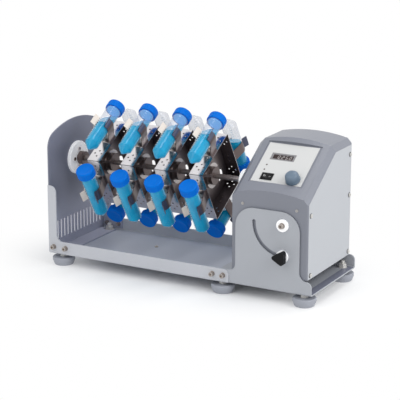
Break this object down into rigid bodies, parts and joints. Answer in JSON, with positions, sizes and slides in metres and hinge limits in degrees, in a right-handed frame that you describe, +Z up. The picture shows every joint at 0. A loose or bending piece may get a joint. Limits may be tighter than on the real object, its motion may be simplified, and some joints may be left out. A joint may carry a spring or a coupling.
{
  "type": "tube rotator",
  "caption": "Benchtop tube rotator: a grey drive unit in a tilt cradle, an extension tray with an end upright, and a square rotor of clips holding capped conical tubes",
  "frame": {"origin": "on the table, at the middle of the overall box", "axes": "X along the rotor axis towards the drive unit, Y to the rear, Z up"},
  "size_m": [0.5526, 0.2444, 0.3122],
  "materials": {
    "light_grey_paint": "satin",
    "tray_paint": "satin",
    "upright_paint": "satin",
    "housing_paint": "satin",
    "panel_paint": "satin",
    "stainless": "polished",
    "bright_steel": "polished",
    "zinc_steel": "bright",
    "dark_steel": "blackened",
    "aluminium": "machined",
    "white_plastic": "satin",
    "black_plastic": "satin",
    "foot_rubber": "matt",
    "label_film": "satin",
    "display_window": "gloss",
    "light_lens": "gloss",
    "knob_plastic": "satin",
    "circuit_board": "solder mask",
    "clear_plastic": "clear",
    "cap_plastic": "moulded",
    "blue_liquid": "clear liquid"
  },
  "bodies": {
    "frame": {"tray": "tray_paint", "end_upright": "upright_paint", "cradle": "light_grey_paint", "feet": "foot_rubber", "foot_studs": "zinc_steel", "foot_nuts": "zinc_steel", "flange_screws": "zinc_steel", "flange_nuts": "zinc_steel", "floor_screw": "zinc_steel", "far_bearing_flange": "white_plastic", "far_bearing": "bright_steel", "bearing_screws": "zinc_steel", "housing_cover": "housing_paint", "housing_base_plate": "tray_paint", "left_side_panel": "panel_paint", "right_side_panel": "panel_paint", "side_panel_screws": "zinc_steel", "front_screws": "zinc_steel", "pivot_bushes": "white_plastic", "pivot_screws": "zinc_steel", "clamp_washer": "white_plastic", "clamp_nut": "zinc_steel", "control_label": "label_film", "display": "display_window", "indicator_lights": "light_lens", "switch_frame": "black_plastic", "speed_potentiometer": "aluminium", "control_board": "circuit_board", "board_standoffs": "zinc_steel", "power_supply": "circuit_board", "mains_inlet": "black_plastic", "gear_motor": "aluminium", "motor_bracket": "zinc_steel", "drive_bush": "white_plastic"},
    "rotor": {"rotor_shaft": "bright_steel", "drive_shaft": "bright_steel", "drive_coupling": "white_plastic", "end_collar": "dark_steel", "carrier_hubs": "aluminium", "hub_screws": "zinc_steel", "seam_screws": "zinc_steel", "clip_screws": "zinc_steel", "tube_contents": "blue_liquid", "tubes": "clear_plastic", "tube_caps": "cap_plastic", "carrier_1_upper": "stainless", "carrier_1_lower": "stainless", "carrier_2_upper": "stainless", "carrier_2_lower": "stainless", "carrier_3_upper": "stainless", "carrier_3_lower": "stainless", "carrier_4_upper": "stainless", "carrier_4_lower": "stainless", "clips_1": "bright_steel", "clips_2": "bright_steel", "clips_3": "bright_steel", "clips_4": "bright_steel"},
    "speed_knob": {"speed_knob": "knob_plastic"},
    "power_rocker": {"power_rocker": "black_plastic"},
    "clamp_knob": {"clamp_knob": "black_plastic"}
  },
  "joints": [
    {"name": "rotor_turn", "type": "hinge", "parent": "frame", "child": "rotor", "pos_m": [0, 0, 0.19], "axis": [1, 0, 0], "continuous": true},
    {"name": "speed_knob_turn", "type": "hinge", "parent": "frame", "child": "speed_knob", "pos_m": [0.21775, -0.05861, 0.21759], "axis": [0, -0.5519, 0.8339], "range_deg": [-150, 150]},
    {"name": "power_rocker_tilt", "type": "hinge", "parent": "frame", "child": "power_rocker", "pos_m": [0.16605, -0.05667, 0.21648], "axis": [0, 0.8339, 0.5519], "range_deg": [-14, 0]},
    {"name": "clamp_knob_turn", "type": "hinge", "parent": "frame", "child": "clamp_knob", "pos_m": [0.21725, -0.1003, 0.0884], "axis": [0, -1, 0], "range_deg": [0, 270]}
  ]
}
